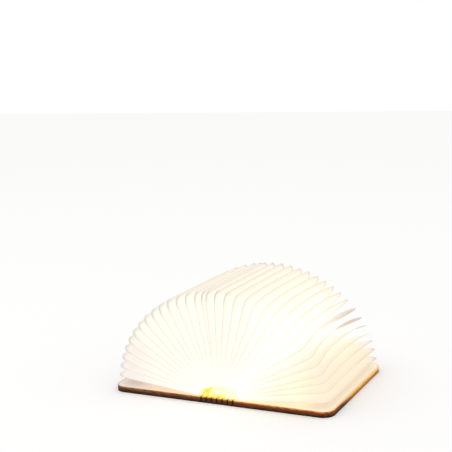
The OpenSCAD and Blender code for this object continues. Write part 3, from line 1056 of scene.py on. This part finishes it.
def sheet_mesh(number, root, direction, valley, side, first=0):
    """Points, cells and attributes of one closed sheet, its points numbered from first."""
    outer, inner = sheet_points(number, root, direction, valley, side)
    rows, columns = outer.shape[:2]
    count = rows * columns
    flip = side < 0
    quads = np.concatenate([
        grid_quads(rows, columns, first, flip),
        grid_quads(rows, columns, first + count, not flip),
        strip_quads(rim_loop(rows, columns, first), rim_loop(rows, columns, first + count), flip),
    ])
    points = np.concatenate([outer.reshape(-1, 3), inner.reshape(-1, 3)])
    return points, quads, sheet_attributes(count)


print("sheets are", round(SHEET_T / MM, 2), "mm thick and", 2 * SEAL_GAP / MM, "mm apart at the seal")

# %% [markdown]
# A page rides on its own body. When its side of the book shuts, the real pocket is pressed
# flat. The middle page stands between both sides: its left sheet closes with the left cover
# and its right sheet with the right, and it is made as two pieces.


def fold_flat(piece):
    """Gives the pocket a mesh of its own."""
    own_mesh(piece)


def make_page(number):
    """Both sheets of a page as one piece, or as two for the middle page."""
    root, direction = page_roots[number - 1], page_directions[number - 1]
    node = f"page_{number:02d}"
    left = sheet_mesh(number, root, direction, valley_at(number - 1), 1)
    if number == MIDDLE_PAGE:
        right = sheet_mesh(number, root, direction, valley_at(number), -1)
        for part, joint, side in ((left, "left_fold", "left"), (right, "right_fold", "right")):
            piece = mesh_piece(f"{node}_{side}_sheet", part[0], part[1], page_finish, part[2])
            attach(piece, body_of_node[node])
            fold_flat(piece)
            if side == "left":
                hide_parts(node)
        return
    right = sheet_mesh(number, root, direction, valley_at(number), -1, first=len(left[0]))
    points = np.concatenate([left[0], right[0]])
    quads = np.concatenate([left[1], right[1]])
    attributes = {key: np.concatenate([left[2][key], right[2][key]]) for key in left[2]}
    piece = mesh_piece(f"{node}_pocket", points, quads, page_finish, attributes)
    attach(piece, body_of_node[node])
    fold_flat(piece)
    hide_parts(node)


for number in range(1, PAGE_COUNT + 1):
    make_page(number)
print("pages:", PAGE_COUNT, "pockets of", 2 * 2 * len(sheet_reach) * len(side_share), "points each")

# %% [markdown]
# ## Inner folds
#
# Between two pages the paper doesn't end at the valley: the glued sheets run on inwards
# towards the light tray, as a short fold. Seen from the end of the spine, these folds fill
# the hub of the fan, and they are the brightest paper of all. They could be part of the
# pockets, but then they would flatten the wrong way, so each is a thin strip of its own.
# It starts at the valley, points at the tray and ripples a little along its length. A fold
# crumples up against its valley as the book shuts.

# %% Shape of an inner fold
FOLD_T = 0.12 * MM
TRAY_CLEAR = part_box("light_tray")[1].x + 0.7 * MM
FOLD_AIM = np.array([0, BOARD_T + 1.2 * MM])
FOLD_LEAST = 1.2 * MM
FOLD_RIPPLE = 0.16 * MM
FOLD_ROWS = 5
FOLD_COLUMNS = 61
LONG_RIPPLE = 3.3 * MM
SHORT_RIPPLE = 2.1 * MM
RIPPLE_STEP = 1.7


def inner_fold(number, valley):
    """Closed thin strip from a valley towards the tray, and the way that it points.

    At a share t of its length it lies at valley + t * length * direction, and off that by
    a ripple of two sines along the spine, which grows with t.
    """
    toward = FOLD_AIM - valley
    toward /= np.hypot(*toward)
    length = (abs(valley[0]) - TRAY_CLEAR) / abs(toward[0])
    share = np.linspace(0, 1, FOLD_ROWS)[:, None]
    along = np.linspace(-PAGE_HALF_H, PAGE_HALF_H, FOLD_COLUMNS)[None, :]
    ripple = np.sin(along / SHORT_RIPPLE + RIPPLE_STEP * number)
    ripple = ripple + np.sin(along / LONG_RIPPLE + number)
    normal = np.array([-toward[1], toward[0]])
    sides = []
    for lift in (FOLD_T / 2, -FOLD_T / 2):
        off = FOLD_RIPPLE * ripple * share + lift
        x = valley[0] + toward[0] * length * share + normal[0] * off
        z = valley[1] + toward[1] * length * share + normal[1] * off
        sides.append(np.stack([x, np.repeat(along, FOLD_ROWS, 0), z], -1))
    count = FOLD_ROWS * FOLD_COLUMNS
    near_rim = rim_loop(FOLD_ROWS, FOLD_COLUMNS)
    far_rim = rim_loop(FOLD_ROWS, FOLD_COLUMNS, count)
    quads = np.concatenate([
        grid_quads(FOLD_ROWS, FOLD_COLUMNS, 0, True),
        grid_quads(FOLD_ROWS, FOLD_COLUMNS, count),
        strip_quads(near_rim, far_rim, True),
    ])
    points = np.concatenate([side.reshape(-1, 3) for side in sides])
    reach = np.tile(np.repeat(share, FOLD_COLUMNS, 1).ravel(), 2)
    return points, quads, reach, toward


print("folds end", round(TRAY_CLEAR / MM, 2), "mm from the spine's middle plane")

# %% [markdown]
# The folds are the same paper in the full light of the tray, so their glow and the yellow of
# their base colour are painted lamplight. Their yellow is deepest on the left and paler to
# the right and towards the tray, and painted light and shade of crumples break it up. Right
# at the valley they are nearly as cream as the pages that they run into.

# %% Finish of the inner folds, and the folds themselves
FOLD_STOPS = ((0.15, (0.78, 0.58, 0.03)), (0.50, (0.78, 0.70, 0.14)), (0.85, (0.80, 0.79, 0.60)))
FOLD_REACH_SHARE = 0.5
CRUMPLE_RANGE = (0.35, 0.65)
CRUMPLE_SHARE = 0.3
FOLD_RIGHT_X = (-9 * MM, 6 * MM)
FOLD_RIGHT_SHARE = 0.4
VALLEY_GLOW = (0.80, 0.77, 0.62)
VALLEY_RANGE = (0.62, 0.42)
VALLEY_RAGGED = 0.6
FOLD_TINT_RANGE = (0.2, 0.8)
FOLD_YELLOW = (0.24, 0.20, 0.02)
FOLD_PALE = (0.26, 0.26, 0.20)


def fold_paper():
    """Paper in the painted full light of the tray, broken up by painted light and shade of crumples."""
    finish = Finish("brightest_page_paper")
    x = finish.axes()[0]
    reach = finish.value_of("reach")
    fibres = finish.noise(1500, detail=5, roughness=0.7)
    # Painted light and shade of crumples in the folds' glow and tint.
    crumple = finish.noise(260, stretch=(1, 0.5, 1), detail=3)
    paler = finish.plus(
        finish.times(reach, FOLD_REACH_SHARE),
        finish.times(finish.ramp_between(crumple, *CRUMPLE_RANGE), CRUMPLE_SHARE),
    )
    paler = finish.plus(
        paler, finish.times(finish.ramp_between(x, *FOLD_RIGHT_X), FOLD_RIGHT_SHARE)
    )
    ragged = finish.plus(reach, finish.times(crumple, VALLEY_RAGGED))
    at_valley = finish.ramp_between(ragged, *VALLEY_RANGE)
    glow = finish.mix(at_valley, finish.colours(paler, FOLD_STOPS), VALLEY_GLOW)
    tint = finish.mix(finish.ramp_between(paler, *FOLD_TINT_RANGE), FOLD_YELLOW, FOLD_PALE)
    finish.set(Base_Color=tint, Emission_Color=glow, Emission_Strength=1.0)
    finish.set(Roughness=0.62, Specular_IOR_Level=0.3)
    finish.bumps(fibres, 0.25, 0.05 * MM)
    return finish.material


fold_finish = fold_paper()
fold_count = 0
for number in range(1, PAGE_COUNT):
    valley = valley_at(number)
    if abs(valley[0]) < TRAY_CLEAR + FOLD_LEAST:
        continue
    points, quads, reach, toward = inner_fold(number, valley)
    outer_page = number if number < MIDDLE_PAGE else number + 1
    piece = mesh_piece(f"inner_fold_{number:02d}", points, quads, fold_finish, {"reach": reach})
    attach(piece, body_of_node[f"page_{outer_page:02d}"])
    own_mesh(piece)
    fold_count += 1
print("inner folds:", fold_count)

# %% [markdown]
# ## Floor, background and light
#
# The lamp lies on a plain white floor. The world and one large soft lamp light it at a
# plain level. More light would make the floor white too, but would wash out the paper, so
# the floor has a little glow of its own that only the camera, mirrors and glass see, and
# the soft shadow under the boards stays.

# %% Floor, background and light
FLOOR_HALF = 3.0
FLOOR_GAP = 0.02 * MM
FLOOR_WHITE = (0.88, 0.88, 0.875)
FLOOR_LIFT = 0.14
WORLD_LEVEL = 0.92
LAMP_WATTS = 1.6
LAMP_SIDE = 1.2
LAMP_PLACE = Vector((-0.5, -0.6, 1.3))


def seen_by_camera(tree):
    """1 for rays that meet the camera, a mirror or glass, and 0 for light that falls."""
    path = tree.nodes.new("ShaderNodeLightPath")
    seen = path.outputs["Is Camera Ray"]
    for ray in ("Is Glossy Ray", "Is Transmission Ray"):
        either = tree.nodes.new("ShaderNodeMath")
        either.operation = "MAXIMUM"
        tree.links.new(seen, either.inputs[0])
        tree.links.new(path.outputs[ray], either.inputs[1])
        seen = either.outputs[0]
    return seen


def white_world():
    """A white background that lights the model at a slightly lower level."""
    world = bpy.data.worlds.new("white_room")
    bpy.context.scene.world = world
    world.use_nodes = True
    tree = world.node_tree
    background = tree.nodes["Background"]
    background.inputs["Color"].default_value = (1, 1, 1, 1)
    level = tree.nodes.new("ShaderNodeMapRange")
    level.inputs["To Min"].default_value = WORLD_LEVEL
    level.inputs["To Max"].default_value = 1.0
    tree.links.new(seen_by_camera(tree), level.inputs["Value"])
    tree.links.new(level.outputs[0], background.inputs["Strength"])


def white_floor():
    """A large square just under the boards, with a glow that only the camera sees."""
    finish = Finish("white_floor")
    finish.set(Base_Color=FLOOR_WHITE, Roughness=0.9, Specular_IOR_Level=0.0)
    lift = finish.times(seen_by_camera(finish.tree), FLOOR_LIFT)
    finish.set(Emission_Color=(1, 1, 1), Emission_Strength=lift)
    corners = FLOOR_HALF * np.array([[-1, -1, 0], [1, -1, 0], [1, 1, 0], [-1, 1, 0]])
    corners[:, 2] = cad_low.z - FLOOR_GAP
    floor = mesh_piece("floor", corners, np.array([[0, 1, 2, 3]]), finish.material, smooth=False)


def soft_lamp():
    """A large square lamp above and in front of the left cover, aimed at the spine."""
    data = bpy.data.lights.new("soft_lamp", "AREA")
    data.energy = LAMP_WATTS
    data.size = LAMP_SIDE
    lamp = bpy.data.objects.new("soft_lamp", data)
    toward = (-LAMP_PLACE).to_track_quat("-Z", "Y").to_matrix().to_4x4()
    lamp.matrix_world = Matrix.Translation(LAMP_PLACE) @ toward
    bpy.context.scene.collection.objects.link(lamp)


white_world()
white_floor()
soft_lamp()
bpy.context.scene.view_settings.view_transform = "Standard"
print("floor, world and lamp are in place")

print("packed box mm:", [round(v / MM, 1) for v in (*cad_low, *cad_high)])
